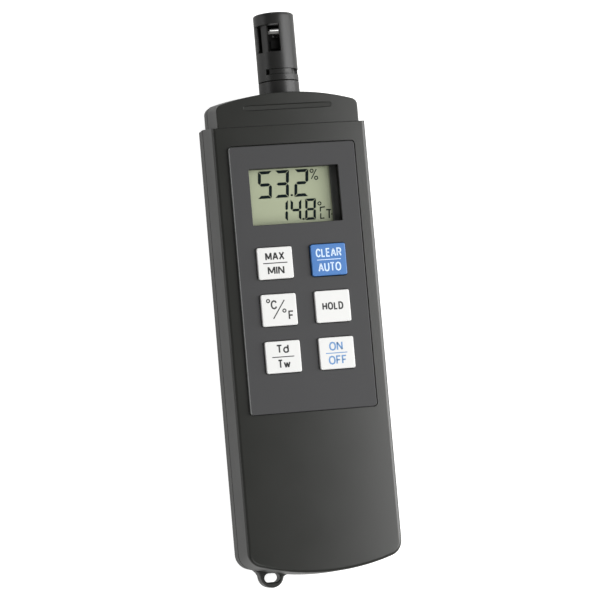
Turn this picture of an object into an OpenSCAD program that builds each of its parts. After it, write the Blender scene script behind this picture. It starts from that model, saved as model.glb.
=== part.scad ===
// Handheld hygrometer: a two-shell plastic case with a display, six keys, a battery and a sensor probe.
// It lies on its back. +Z points out of the display, +Y towards the probe, +X to the reader's right.
// The origin is in the plane of the back, about under the middle of the length. Sizes are millimetres.

/* [Case] */
// Width of the case across the grip
body_w = 49.2; // [49.2:0.2:50]
// Thickness of the case at the crown of the front
body_d = 24; // [24:0.1:24.4]
// Height of the parting line above the back
split_z = 8; // [7.5:0.1:8.5]
// Thickness of the moulded walls
wall = 2; // [1.8:0.1:2]
// Lowest point of the case at the parting line, at the grip end
foot_y = -87.5; // [-87.6:0.1:-87.4]
// How much the grip end's wall leans back towards the front
foot_draft = 0.7; // [0.6:0.1:0.8]
// Radius of the curved grip end
foot_arc_r = 70; // [65:1:90]
// Corner radius of the grip end
foot_corner_r = 5; // [4:0.5:6]
// Where the wide grip stops at the parting line, and the narrower sensor end starts
shoulder_y = 54.6; // [54.4:0.1:54.8]
// How much the walls at the sensor end lean back towards the front
end_draft = 1.7; // [1.5:0.1:1.9]
// How much the front drops from its middle to its long edges
crown = 1; // [0.6:0.1:1.2]
// Radius of the front's edge
front_edge_r = 1.1; // [1:0.1:1.3]
// Radius of the back's edge
back_edge_r = 2.5; // [2.2:0.1:2.8]

/* [Sensor end] */
// Width of the sensor end of the case
cap_w = 45.4; // [45:0.2:46]
// Highest point of the arched end at the parting line
cap_top_y = 64.8; // [64.6:0.1:65]
// Radius of the arched end
cap_arc_r = 77; // [70:1:90]
// Corner radius of the arched end
cap_corner_r = 2.2; // [2:0.1:2.4]
// How much lower the sensor end's front lies
cap_step = 0.35; // [0.3:0.05:0.5]
// Radius of the sensor end's front edge
cap_edge_r = 0.3; // [0.2:0.1:0.4]
// Radius of the sensor end's back edge
cap_back_r = 3.8; // [3:0.1:3.8]

/* [Face panel] */
// Width of the face panel
panel_w = 40.2; // [40:0.1:40.4]
// Length of the face panel
panel_l = 83.4; // [83:0.1:83.6]
// Thickness of the face panel
panel_t = 1; // [0.9:0.1:1.1]
// How far the panel stands above the crown
panel_rise = 0.2; // [0.1:0.05:0.3]
// Middle of the panel
panel_y = 4.8; // [4.7:0.1:4.9]
// Width of the display window
window_w = 28.6; // [28:0.1:29]
// Height of the display window
window_l = 17.6; // [17:0.1:18]
// Middle of the display window
window_y = 30.5; // [30.3:0.1:30.7]

/* [Keys] */
// Width of a key
key_w = 11.1; // [10.8:0.1:11.3]
// Length of a key
key_l = 9.9; // [9.6:0.1:10.1]
// Distance between the two columns
key_pitch_x = 17.1; // [17:0.1:17.3]
// Distance between the rows
key_pitch_y = 14.6; // [14.4:0.1:14.7]
// Middle of the top row
key_row_y = 9.6; // [9.4:0.1:9.7]
// How far a key stands above the panel
key_rise = 0.9; // [0.85:0.05:1.1]
// Travel of a key
key_travel = 0.8; // [0.6:0.1:0.8]

/* [Probe] */
// Diameter of the probe
probe_d = 12.8; // [12.7:0.1:12.9]
// Height of the probe's axis above the back
probe_z = 14; // [13.9:0.1:14.1]
// End of the fixed collar, where the turning guard starts
seam_y = 67.4; // [67.2:0.1:67.6]
// Tip of the probe
tip_y = 89.1; // [89:0.1:89.3]
// Running clearance between the guard and the tube
guard_clear = 0.08; // [0.05:0.01:0.1]
// Opening angle of each of the guard's two windows
guard_window_a = 80; // [78:0.5:82]
// Direction of the guard's front window from straight ahead, at rest
guard_turn_a = -41; // [-42:0.5:-40]

/* [Battery] */
// Length of the block battery's can
battery_l = 46; // [45.5:0.1:46]
// Width of the block battery
battery_w = 26.5; // [26:0.1:26.5]
// Thickness of the block battery
battery_t = 17.5; // [17:0.1:17.5]

/* [Hidden] */

$fn = 64;

// How far a cutting shape overruns, the thickness of a slice, and the gap between touching pieces
cut = 1;
thin = 0.02;
slip = 0.1;
touch = 0.01;

// Heights of the front wall, the panel and the floor
half_w = body_w / 2;
half_cap = cap_w / 2;
panel_top = body_d + panel_rise;
panel_z = panel_top - panel_t;
panel_gap = 0.3;
panel_corner_r = 1;
ceiling_z = body_d - 2.8;
floor_z = 2.2;

// Clear window in its pocket
lens_w = 32;
lens_l = 21;
lens_t = 0.96;
lens_corner_r = 0.9;

// Sunk bar across the sensor end
bar_w = 28.6;
bar_l = 1.8;
bar_y = 58.5;
bar_depth = 0.45;

// Lip and rebate that join the shells, and the gap that shows as the parting line
lip_t = 0.9;
lip_h = 1.4;
lip_root = 2;
split_gap = 0.25;
back_top = split_z - split_gap;

// Electronics stack, from the board upwards
board_t = 1.6;
board_w = 41;
board_y0 = -28;
board_y1 = 50.5;
board_top = ceiling_z - 4;
board_z = board_top - board_t;
mat_t = 0.8;
mat_z = board_top + 0.05;
mat_top = mat_z + mat_t;
lcd_w = 32;
lcd_l = 20;
lcd_t = 2.1;
lcd_z = board_top + 1.1;

// Keys, and the rubber web and pill under each of them
key_top = panel_top + key_rise;
key_corner_r = 0.8;
key_clear = 0.2;
key_edge = 0.3;
flange_w = 0.8;
flange_t = 0.9;
flange_top = ceiling_z - 0.2;
key_foot = flange_top - flange_t;
key_post_r = 2.2;
pill_t = 0.5;
pill_r = 1.8;
pill_z = board_top + key_travel + 0.05;
pill_top = pill_z + pill_t;
dome_top = key_foot - 0.05;
dome_r = 3.9;
// Column and row of each key
AT_MAX_MIN = [-1, 0];
AT_CLEAR_AUTO = [1, 0];
AT_UNIT = [-1, 1];
AT_HOLD = [1, 1];
AT_DEW_WET = [-1, 2];
AT_POWER = [1, 2];
KEYS = [AT_MAX_MIN, AT_CLEAR_AUTO, AT_UNIT, AT_HOLD, AT_DEW_WET, AT_POWER];

// Screws, and the posts that take them
case_screw_at = [[-19.5, -77], [19.5, -77], [-16.5, 56], [16.5, 56]];
case_screw_r = 1.3;
case_screw_l = 14;
case_head_r = 2.4;
case_head_z = 1.4;
case_head_t = 1.6;
case_post_r = 3;
board_screw_at = [[-18, -25.5], [18, -25.5], [-18, 46.5], [18, 46.5]];
board_screw_r = 0.85;
board_screw_l = 4.8;
board_head_r = 1.8;
board_head_t = 1.3;
board_post_r = 2.2;
thread_bite = 0.05;

// Battery bay and its cover
battery_y = -83;
battery_z = 3.1;
battery_mid_z = battery_z + battery_t / 2;
battery_end_y = battery_y + battery_l;
terminal_x = 6.35;
terminal_h = 2.5;
bay_half = (battery_w + 0.9) / 2;
bay_wall = 1.2;
bay_y0 = battery_y + 0.6;
bay_y1 = -30.6;
bay_top = 19;
cover_half = 15;
cover_y1 = -33.5;
cover_z = 0.1;
cover_top = 2;
cover_lip_z = 1.3;
cover_lip_w = 1.2;
ledge_top = 3.1;
ledge_w = 3;

// Lanyard loop, with the flanks that carry it
loop_at = [-14.3, -86.9];
loop_r = 3.75;
loop_hole_at = [-14.3, -87.5];
loop_hole_r = 1.45;
loop_z = 2.2;
loop_h = 5.5;
loop_flanks = [[-20.6, -83.6], [-17.9, -87.8], [-10.7, -87.8], [-8.4, -85.6]];

// Probe. Angles turn from straight ahead towards +X.
probe_r = probe_d / 2;
seat_y = 57.9;
guard_bore_r = 5.3;
guard_end = tip_y - 1.4;
tube_r = guard_bore_r - guard_clear;
tube_bore_r = 4.3;
tube_root_r = 5.8;
tube_start = 57;
tube_end = tip_y - 1.7;
flange_y = 59.2;
flange_r = 7.1;
flange_l = 1.4;
vent_y0 = 76.6;
vent_y1 = 85.4;
vent_a = 62;
vent_turn_a = -10;
slot_y0 = 69.4;
slot_y1 = 71.2;
slot_a0 = -48;
slot_a1 = 91.1;
lug_a0 = -36.6;
lug_a1 = 30;

// Sensor carrier inside the probe
carrier_t = 0.8;
plate_t = 0.5;
plate_top = probe_z + touch + plate_t;
film_z = plate_top + touch;
film_t = 0.3;

// Points of an arc about c, from angle a0 to a1, in n steps
function arc(c, r, a0, a1, n) = [
    for (i = [0 : n]) let (a = a0 + (a1 - a0) * i / n) c + r * [cos(a), sin(a)]
];

// Centre of the corner circle that meets a straight side and the end arc
function corner_x(w, r) = w / 2 - r;
function corner_drop(w, arc_r, r) = sqrt(pow(arc_r - r, 2) - pow(corner_x(w, r), 2));

// Outline of the grip, moved inwards by e, at the parting line or, with lean 1, at the front
function grip_outline(e, lean = 0) = let (
    mid = [0, foot_y + lean * foot_draft + foot_arc_r],
    end_y = shoulder_y - lean * end_draft - e,
    kx = corner_x(body_w, foot_corner_r),
    ky = mid.y - corner_drop(body_w, foot_arc_r, foot_corner_r),
    turn = atan2(ky - mid.y, kx)
) concat(
    arc([-kx, ky], foot_corner_r - e, 180, 180 - turn, 6),
    arc(mid, foot_arc_r - e, 180 - turn, 360 + turn, 12),
    arc([kx, ky], foot_corner_r - e, 360 + turn, 360, 6),
    [[half_w - e, end_y], [e - half_w, end_y]]
);

// Outline of the sensor end in the same way, reaching down into the grip
function cap_outline(e, lean = 0) = let (
    mid = [0, cap_top_y - lean * end_draft - cap_arc_r],
    kx = corner_x(cap_w, cap_corner_r),
    ky = mid.y + corner_drop(cap_w, cap_arc_r, cap_corner_r),
    turn = atan2(ky - mid.y, kx)
) concat(
    [[e - half_cap, shoulder_y - 10], [half_cap - e, shoulder_y - 10]],
    arc([kx, ky], cap_corner_r - e, 0, turn, 5),
    arc(mid, cap_arc_r - e, turn, 180 - turn, 12),
    arc([-kx, ky], cap_corner_r - e, 180 - turn, 180, 5)
);

// Outline of the sensor end's flat back, moved inwards by e from the parting line's
function cap_flat(e) = let (
    mid = [0, cap_top_y - cap_arc_r],
    turn = acos((half_cap - e) / (cap_arc_r - e))
) concat(
    [[e - half_cap, shoulder_y - 10], [half_cap - e, shoulder_y - 10]],
    arc(mid, cap_arc_r - e, turn, 180 - turn, 12)
);

// Height of the crowned front above the back
function crown_z(x) = body_d - crown * pow(x / half_w, 2);

// Half of a front cross-section: side wall, edge radius and crown, lowered by drop
function section_side(w, r, drop) = concat(
    [[w, split_z]],
    arc([w - r, crown_z(w) - drop - r], r, 0, 80, 4),
    [for (i = [0 : 5]) let (x = (w - r) * (1 - i / 6)) [x, crown_z(x) - drop]]
);

// Half of a back cross-section: side wall and edge radius
function back_side(w, r) = concat([[w, back_top]], arc([w - r, r], r, 0, -90, 5));

// The same points on the other side, in the other order
function mirrored(points) = [for (i = [len(points) - 1 : -1 : 0]) [-points[i].x, points[i].y]];

module case_area(e, lean) {
    polygon(grip_outline(e, lean));
    polygon(cap_outline(e, lean));
}

module rounded_area(w, l, r) {
    translate([-w / 2 + r, -l / 2]) square([w - 2 * r, l]);
    translate([-w / 2, -l / 2 + r]) square([w, l - 2 * r]);
    for (x = [-1, 1], y = [-1, 1])
        translate([x * (w / 2 - r), y * (l / 2 - r)]) circle(r);
}

// Solid of the case's outline, moved inwards by e, between two heights
module case_layer(e, z0, z1, lean = 0) {
    translate([0, 0, z0]) linear_extrude(z1 - z0) case_area(e, lean);
}

// Plate with rounded corners about a place on Y, between two heights
module plate(y, w, l, r, z0, z1) {
    translate([0, y, z0]) linear_extrude(z1 - z0) rounded_area(w, l, r);
}

// Box between two opposite corners
module block(low, high) {
    translate(low) cube(high - low);
}

// Upright round peg at a place, between two heights
module peg(at, r, z0, z1) {
    translate([at.x, at.y, z0]) cylinder(h = z1 - z0, r = r);
}

// Thin slice of the case, standing across it at a place on Y
module slice(y, points) {
    translate([0, y, 0]) rotate([90, 0, 0]) linear_extrude(thin) polygon(points);
}

module front_slice(y, w, r, drop) {
    side = section_side(w, r, drop);
    slice(y, concat(side, [[0, body_d - drop]], mirrored(side)));
}

module back_slice(y, w, r) {
    side = back_side(w, r);
    slice(y, concat(side, mirrored(side)));
}

// Front half of the grip as one crowned block with soft edges
module grip_front() {
    hull() {
        for (p = grip_outline(front_edge_r, 1))
            if (p.y < shoulder_y - 5)
                translate([p.x, p.y, crown_z(p.x) - front_edge_r]) sphere(front_edge_r, $fn = 16);
        translate([0, 0, split_z]) linear_extrude(thin) polygon(grip_outline(0));
        front_slice(shoulder_y - end_draft, half_w, front_edge_r, 0);
    }
}

// Front half of the sensor end, a step lower than the grip
module cap_front() {
    hull() {
        for (p = cap_outline(cap_edge_r, 1))
            if (p.y > shoulder_y)
                translate([p.x, p.y, crown_z(p.x) - cap_step - cap_edge_r]) sphere(cap_edge_r, $fn = 12);
        translate([0, 0, split_z]) linear_extrude(thin) polygon(cap_outline(0));
        front_slice(shoulder_y - 10, half_cap, cap_edge_r, cap_step);
    }
}

// Back half of the grip, square where it meets the sensor end
module grip_back() {
    inner = grip_outline(back_edge_r);
    hull() {
        for (p = inner)
            if (p.y < shoulder_y - 5)
                translate([p.x, p.y, back_edge_r]) sphere(back_edge_r, $fn = 16);
        linear_extrude(thin) polygon(inner);
        translate([0, 0, back_top - thin]) linear_extrude(thin) polygon(grip_outline(0));
        back_slice(shoulder_y, half_w, back_edge_r);
    }
}

// Back half of the sensor end, reaching down into the grip
module cap_back() {
    inner = cap_flat(cap_back_r);
    hull() {
        for (p = inner)
            if (p.y > shoulder_y)
                translate([p.x, p.y, cap_back_r]) sphere(cap_back_r, $fn = 24);
        linear_extrude(thin) polygon(inner);
        translate([0, 0, back_top - thin]) linear_extrude(thin) polygon(cap_outline(0));
        back_slice(shoulder_y - 10, half_cap, cap_back_r);
    }
}

module back_solid() {
    grip_back();
    cap_back();
}

// Places something built on +Z with its front on -Y along the probe
module on_probe() {
    translate([0, 0, probe_z]) rotate([-90, 0, 0]) children();
}

// Round seat of the probe in the case
module probe_seat() {
    on_probe() translate([0, 0, seat_y]) cylinder(h = 12, r = probe_r + 0.05);
}

// Raised part of the rear shell's end wall, which closes the front shell's slot under the probe
module probe_saddle() {
    half = probe_r - slip;
    saddle_top = probe_z - 2.5;
    intersection() {
        case_layer(0, back_top - cut, saddle_top, 1);
        block([-half, cap_top_y - end_draft - wall, back_top - cut], [half, cap_top_y, saddle_top]);
    }
}

// Wedge of a disc between two directions and two places along the probe
module sector(r, a0, a1, y0, y1) {
    steps = ceil((a1 - a0) / 20);
    translate([0, 0, y0]) linear_extrude(y1 - y0)
        polygon(concat([[0, 0]], arc([0, 0], r, a0 - 90, a1 - 90, steps)));
}

module key_place(at) {
    translate([at.x * key_pitch_x / 2, key_row_y - at.y * key_pitch_y, 0]) children();
}

// Openings for the keys in the panel and the front wall
module key_openings(z0, z1) {
    for (at = KEYS)
        key_place(at)
            plate(0, key_w + 2 * key_clear, key_l + 2 * key_clear, key_corner_r + key_clear, z0, z1);
}

module window_opening(z0, z1) {
    block(
        [-window_w / 2, window_y - window_l / 2, z0],
        [window_w / 2, window_y + window_l / 2, z1]
    );
}

module front_shell() {
    case_pilot = 10;
    board_pilot = 3.4;
    pocket_depth = 1;
    color("#4a4b49") difference() {
        union() {
            difference() {
                union() {
                    grip_front();
                    cap_front();
                }
                // Hollow inside, and the rebate for the rear shell's lip
                case_layer(wall, split_z - cut, ceiling_z, 1);
                case_layer(wall - lip_t - slip, split_z - cut, split_z + lip_h + slip);
            }
            for (p = case_screw_at)
                peg(p, case_post_r, split_z, ceiling_z + slip);
            for (p = board_screw_at)
                peg(p, board_post_r, board_top, ceiling_z + slip);
        }
        for (p = case_screw_at)
            peg(p, case_screw_r + thread_bite, split_z - cut, split_z + case_pilot);
        for (p = board_screw_at)
            peg(p, board_screw_r + thread_bite, board_top - cut, board_top + board_pilot);
        // Recess for the face panel, and the pocket for the clear window under it
        plate(
            panel_y, panel_w + 2 * panel_gap, panel_l + 2 * panel_gap, panel_corner_r + panel_gap,
            panel_z, panel_top + cut
        );
        plate(
            window_y, lens_w + 2 * slip, lens_l + 2 * slip, lens_corner_r + slip,
            panel_z - pocket_depth, panel_z + cut
        );
        window_opening(ceiling_z - cut, panel_z + cut);
        key_openings(ceiling_z - cut, panel_z + cut);
        // Sunk bar across the sensor end
        plate(bar_y, bar_w, bar_l, bar_l / 2 - thin, body_d - cap_step - bar_depth, body_d + cut);
        probe_seat();
        block([-probe_r - 0.05, seat_y, 0], [probe_r + 0.05, seat_y + 12, probe_z]);
    }
}

// Round posts and the thicker floor round the battery cover's grooves
module rear_floor_parts() {
    intersection() {
        case_layer(wall / 2, floor_z - cut, split_z);
        union() {
            for (p = case_screw_at)
                peg(p, case_post_r + 0.2, floor_z - cut, split_z - slip);
            block(
                [-cover_half - ledge_w, foot_y, floor_z - cut],
                [cover_half + ledge_w, bay_y1 + bay_wall, ledge_top]
            );
        }
    }
}

module battery_bay_walls() {
    lead_way_half = 6;
    lead_way_z = 9;
    difference() {
        block(
            [-bay_half - bay_wall, bay_y0, floor_z - slip],
            [bay_half + bay_wall, bay_y1 + bay_wall, bay_top]
        );
        block([-bay_half, bay_y0 - cut, 0], [bay_half, bay_y1, bay_top + cut]);
        // Way through for the battery leads
        block(
            [-lead_way_half, bay_y1 - cut, lead_way_z],
            [lead_way_half, bay_y1 + bay_wall + cut, bay_top + cut]
        );
    }
}

module lanyard_loop() {
    translate([0, 0, loop_z]) linear_extrude(loop_h) difference() {
        union() {
            translate(loop_at) circle(loop_r);
            polygon(loop_flanks);
        }
        polygon(grip_outline(0.5));
    }
}

module rear_shell() {
    color("#464744") difference() {
        union() {
            difference() {
                back_solid();
                case_layer(wall, floor_z, split_z + cut);
            }
            // Lip that stands up inside the front shell
            difference() {
                case_layer(wall - lip_t, split_z - lip_root, split_z + lip_h);
                case_layer(wall, split_z - lip_root - cut, split_z + lip_h + cut);
            }
            rear_floor_parts();
            battery_bay_walls();
            probe_saddle();
            lanyard_loop();
        }
        peg(loop_hole_at, loop_hole_r, -cut, split_z + cut);
        for (p = case_screw_at) {
            peg(p, case_head_r + 0.2, -cut, case_head_z + case_head_t);
            peg(p, case_screw_r + 0.3, -cut, split_z);
        }
        // Opening of the battery bay, with the grooves that hold its cover
        block(
            [-cover_half - slip, foot_y - cut, -cut],
            [cover_half + slip, cover_y1 + slip, cover_lip_z + thin]
        );
        block(
            [-cover_half - cover_lip_w - slip, foot_y - cut, cover_lip_z - slip],
            [cover_half + cover_lip_w + slip, cover_y1 + slip, cover_top + slip]
        );
        block([-bay_half, battery_y - 0.4, 0], [bay_half, cover_y1 - slip, ledge_top + cut]);
        probe_seat();
    }
}

module battery_cover() {
    ribs = 6;
    rib_pitch = 1.8;
    rib_half = 6;
    rib_gap = 0.9;
    rib_depth = 0.7;
    tongue_y = foot_y + 6;
    color("#434441") difference() {
        intersection() {
            back_solid();
            union() {
                block([-cover_half, foot_y - cut, cover_z], [cover_half, cover_y1, cover_top]);
                block(
                    [-cover_half - cover_lip_w, tongue_y, cover_lip_z],
                    [cover_half + cover_lip_w, cover_y1, cover_top]
                );
            }
        }
        // Ribbed thumb grip
        for (i = [0 : ribs - 1])
            let (y = cover_y1 - 6 - i * rib_pitch)
                block([-rib_half, y, -cut], [rib_half, y + rib_gap, rib_depth]);
    }
}

module face_panel() {
    color("#4b4b4c") difference() {
        plate(panel_y, panel_w, panel_l, panel_corner_r, panel_z, panel_top);
        window_opening(panel_z - cut, panel_top + cut);
        key_openings(panel_z - cut, panel_top + cut);
    }
}

module window_lens() {
    lens_z = panel_z - lens_t - thin;
    color("#dfe6e0", 0.3) plate(window_y, lens_w, lens_l, lens_corner_r, lens_z, lens_z + lens_t);
}

// Black frame round the display glass. Its opening is set to the left.
module lcd_frame() {
    half_x = 17.2;
    half_y = 11.3;
    frame_h = 3.9;
    opening_x = [-15.4, 12.2];
    opening_half = 9.6;
    color("#161616") difference() {
        block([-half_x, window_y - half_y, board_top], [half_x, window_y + half_y, board_top + frame_h]);
        block(
            [-lcd_w / 2 - 0.2, window_y - lcd_l / 2 - 0.2, board_top - cut],
            [lcd_w / 2 + 0.2, window_y + lcd_l / 2 + 0.2, lcd_z + lcd_t + 0.05]
        );
        block(
            [opening_x[0], window_y - opening_half, board_top],
            [opening_x[1], window_y + opening_half, board_top + frame_h + cut]
        );
    }
}

module lcd_glass() {
    color("#a9b196")
        block([-lcd_w / 2, window_y - lcd_l / 2, lcd_z], [lcd_w / 2, window_y + lcd_l / 2, lcd_z + lcd_t]);
}

// Two striped rubber contact strips between the board and the display glass
module zebra_strips() {
    half_x = 14;
    half_y = 0.9;
    color("#6d6a66") for (y = [window_y - 9, window_y + 9])
        block([-half_x, y - half_y, board_top + touch], [half_x, y + half_y, lcd_z - touch]);
}

module keypad_mat() {
    half_x = 15.4;
    color("#8d8f8c") difference() {
        block([-half_x, -26.4, mat_z], [half_x, 16.6, mat_top]);
        for (at = KEYS)
            key_place(at) peg([0, 0], dome_r, mat_z - cut, mat_top + cut);
    }
}

// Hard key cap with a retaining flange, a hollow and a post that presses the dome
module key_cap(at, tint) {
    skin = 1.2;
    roof = 1.4;
    hollow_half = [key_w / 2 - skin, key_l / 2 - skin];
    color(tint) key_place(at) {
        difference() {
            union() {
                plate(0, key_w, key_l, key_corner_r, key_foot, key_top - key_edge);
                plate(0, key_w - 0.4, key_l - 0.4, key_corner_r - 0.1, key_top - key_edge - touch, key_top);
                plate(0, key_w + 2 * flange_w, key_l + 2 * flange_w, key_corner_r, key_foot, flange_top);
            }
            block(
                [-hollow_half.x, -hollow_half.y, key_foot - cut],
                [hollow_half.x, hollow_half.y, key_top - roof]
            );
        }
        peg([0, 0], key_post_r, key_foot, key_top - roof + slip);
    }
}

// Springy web and pad of the keypad under one key
module key_dome(at) {
    web_t = 0.35;
    pad_r = 2.2;
    rim_r = dome_r + 0.6;
    shoulder_r = pad_r + slip + web_t;
    foot = mat_top + touch;
    foot_top = mat_top + web_t;
    color("#8d8f8c") key_place(at) rotate_extrude()
        polygon([
            [0, pill_top + touch], [pad_r, pill_top + touch], [pad_r, dome_top - 0.6],
            [dome_r - web_t, foot], [rim_r, foot], [rim_r, foot_top], [dome_r, foot_top],
            [shoulder_r, dome_top - 0.3], [shoulder_r, dome_top], [0, dome_top]
        ]);
}

// Conductive pill that closes the contact on the board
module key_pill(at) {
    color("#1c1c1c") key_place(at) peg([0, 0], pill_r, pill_z, pill_top);
}

module main_board() {
    color("#2f6b3c") difference() {
        block([-board_w / 2, board_y0, board_z], [board_w / 2, board_y1, board_top - thin]);
        for (p = board_screw_at)
            peg(p, board_screw_r + 0.3, board_z - cut, board_top + cut);
    }
}

// Drop of cast epoxy over the bare processor chip
module chip_on_board() {
    color("#111111") translate([0, -4, board_z - thin]) mirror([0, 0, 1]) rotate_extrude()
        polygon([[0, 0], [7, 0], [6.6, 0.5], [5.6, 0.95], [4, 1.25], [0, 1.4]]);
}

// Small chip with a row of legs on each side, hanging under the board
module sensor_amp_chip() {
    at = [7, 33];
    w = 4;
    l = 5;
    legs = 4;
    leg_pitch = 1.27;
    leg_w = 0.4;
    color("#1a1a1a") {
        block([at.x - w / 2, at.y - l / 2, board_z - 1.9], [at.x + w / 2, at.y + l / 2, board_z - 0.3]);
        for (side = [-1, 1], i = [0 : legs - 1])
            let (x = at.x + side * (w / 2 + 0.5), y = at.y + (i - (legs - 1) / 2) * leg_pitch)
                block([x - 0.5, y - leg_w / 2, board_z - 1], [x + 0.5, y + leg_w / 2, board_z - 0.03]);
    }
}

module quartz_crystal() {
    r = 1.6;
    color("#c8c8c4") translate([-12, 12, board_z - r - 0.2]) rotate([-90, 0, 0]) cylinder(h = 8, r = r);
}

module electrolytic_capacitors() {
    color("#20304e") for (x = [8, 15])
        peg([x, 12], 2.5, board_z - 7.02, board_z - thin);
}

module chip_resistors() {
    color("#26211e") for (x = [-14 : 3 : -5], y = [24 : 4 : 36])
        block([x, y, board_z - 0.57], [x + 2, y + 1.2, board_z - thin]);
}

// Three-legged regulator with a flat on one side
module voltage_regulator() {
    at = [15, -12];
    r = 2.4;
    h = 4.6;
    flat = 1.6;
    color("#1b1b1b") difference() {
        peg(at, r, board_z - h - thin, board_z - thin);
        block([at.x - 2 * r, at.y + flat, board_z - h - cut], [at.x + 2 * r, at.y + 2 * r, board_z + cut]);
    }
}

module sensor_socket() {
    half_x = 4.5;
    slot_half = 3.2;
    slot_t = 1.2;
    slot_z = board_z - 3.6;
    color("#e5e1d2") difference() {
        block([-half_x, 43, board_z - 5.02], [half_x, 48, board_z - thin]);
        block([-slot_half, 44.2, slot_z], [slot_half, 50, slot_z + slot_t]);
    }
}

module battery_9v() {
    can_corner_r = 2;
    color("#3a3d44") translate([0, battery_y, battery_mid_z]) rotate([-90, 0, 0])
        linear_extrude(battery_l) rounded_area(battery_w, battery_t, can_corner_r);
}

// The smaller round terminal and the wider crown-shaped one
module battery_terminals() {
    color("#c9c5b4") for (side = [-1, 1])
        translate([side * terminal_x, battery_end_y, battery_mid_z]) rotate([-90, 0, 0])
            cylinder(h = terminal_h, r = side < 0 ? 2.8 : 3.8);
}

module battery_snap() {
    snap_w = 25.4;
    snap_l = 12.4;
    snap_t = 4.6;
    snap_y = battery_end_y + 0.2;
    color("#151515") difference() {
        translate([0, snap_y, battery_mid_z]) rotate([-90, 0, 0])
            linear_extrude(snap_t) rounded_area(snap_w, snap_l, 4);
        for (side = [-1, 1])
            translate([side * terminal_x, snap_y - cut, battery_mid_z]) rotate([-90, 0, 0])
                cylinder(h = terminal_h + cut, r = 4);
    }
}

// Round insulated wire from the snap to the board, on one side of the middle
module battery_lead(side) {
    r = 0.65;
    route = [[3, -31.5, 12], [3, -28.6, 12], [4, -25, 12.6], [6, -21, 14], [6.4, -20.4, 14.8]];
    for (i = [0 : len(route) - 2])
        hull()
            for (p = [route[i], route[i + 1]])
                translate([side * p.x, p.y, p.z]) sphere(r, $fn = 12);
}

module battery_lead_red() {
    color("#b02a22") battery_lead(-1);
}

module battery_lead_black() {
    color("#161616") battery_lead(1);
}

// Pad that keeps the battery from rattling
module battery_foam() {
    half_x = 9;
    color("#2b2b2b")
        block(
            [-half_x, battery_y + 8, battery_z + battery_t + thin],
            [half_x, battery_y + 38, ceiling_z - thin]
        );
}

// Fixed tube of the probe: flange held in the case, collar, and a thin sleeve with four vents
module sensor_tube() {
    lug_gap = 0.15;
    color("#2f302f") on_probe() {
        difference() {
            rotate_extrude() polygon([
                [tube_bore_r, tube_start], [tube_root_r, tube_start], [tube_root_r, flange_y],
                [flange_r, flange_y], [flange_r, flange_y + flange_l], [probe_r, flange_y + flange_l],
                [probe_r, seam_y], [tube_r, seam_y], [tube_r, tube_end], [0, tube_end],
                [0, tube_end - 1], [tube_bore_r, tube_end - 1]
            ]);
            for (i = [0 : 3])
                let (a = vent_turn_a + 90 * i)
                    sector(9, a - vent_a / 2, a + vent_a / 2, vent_y0, vent_y1);
        }
        // Snap lug that keeps the guard on and limits its turn
        intersection() {
            sector(9, lug_a0, lug_a1, slot_y0 + lug_gap, slot_y1 - lug_gap);
            difference() {
                translate([0, 0, slot_y0]) cylinder(h = 2, r = probe_r - lug_gap);
                translate([0, 0, slot_y0 - cut]) cylinder(h = 4, r = tube_r - slip);
            }
        }
    }
}

// Turning sleeve: two windows that open or cover the vents, and the slot for the lug
module sensor_guard() {
    rim_r = 0.7;
    foot = seam_y + slip;
    color("#3a3b3a") on_probe() difference() {
        rotate_extrude() polygon(concat(
            [[guard_bore_r, foot], [probe_r - slip, foot], [probe_r, foot + slip]],
            arc([probe_r - rim_r, tip_y - rim_r], rim_r, 0, 90, 5),
            [[0, tip_y], [0, guard_end], [guard_bore_r, guard_end]]
        ));
        for (a = [guard_turn_a, guard_turn_a + 180])
            sector(9, a - guard_window_a / 2, a + guard_window_a / 2, vent_y0, vent_y1);
        sector(9, slot_a0, slot_a1, slot_y0, slot_y1);
    }
}

module sensor_board() {
    half_x = 3.5;
    color("#1f3a2a") block([-half_x, 52.5, probe_z - carrier_t], [half_x, 82.5, probe_z]);
}

// White ceramic plate that carries the humidity sensor
module humidity_plate() {
    half_x = 2.6;
    color("#f2f2ee") block([-half_x, 77.2, probe_z + touch], [half_x, 84, plate_top]);
}

module sensor_chip() {
    color("#151515") {
        block([-2.6, 77.5, film_z], [2.6, 82.9, film_z + film_t]);
        block([-1.9, 78.1, film_z], [1.9, 80.7, film_z + 1.6]);
    }
}

module solder_dots() {
    dot_z = film_z + film_t + touch;
    color("#b9bab4") for (x = [-0.7, 0.7])
        peg([x, 82.1], 0.32, dot_z, dot_z + 0.3);
}

module thermistor() {
    r = 0.9;
    color("#5a4a36") translate([0, 74.4, probe_z + r + thin]) rotate([-90, 0, 0]) cylinder(h = 2.2, r = r);
}

// Flat cable that steps up from the board's socket to the sensor carrier
module sensor_ribbon() {
    half_x = 3;
    film = 0.5;
    root_z = 12.5;
    carrier_z = probe_z - carrier_t - touch;
    top = [[48.2, root_z], [49.6, root_z], [51, carrier_z], [53.2, carrier_z]];
    under = [[53.2, carrier_z - film], [51.2, carrier_z - film], [49.8, root_z - film], [48.2, root_z - film]];
    color("#b8b8b2") translate([-half_x, 0, 0]) rotate([90, 0, 90]) linear_extrude(2 * half_x)
        polygon(concat(top, under));
}

// Cross-head screw pointing up, at a place and a height
module screw(at, z, head_r, head_t, shank_r, length) {
    recess_half = head_r * 0.6;
    recess_w = 0.25;
    difference() {
        union() {
            peg(at, head_r, z, z + head_t);
            peg(at, shank_r, z + head_t, z + head_t + length);
        }
        for (a = [0, 90])
            translate([at.x, at.y, z]) rotate([0, 0, a])
                block([-recess_half, -recess_w, -cut], [recess_half, recess_w, head_t * 0.55]);
    }
}

module case_screws() {
    color("#8d8f90") for (p = case_screw_at)
        screw(p, case_head_z, case_head_r, case_head_t - thin, case_screw_r, case_screw_l);
}

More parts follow.
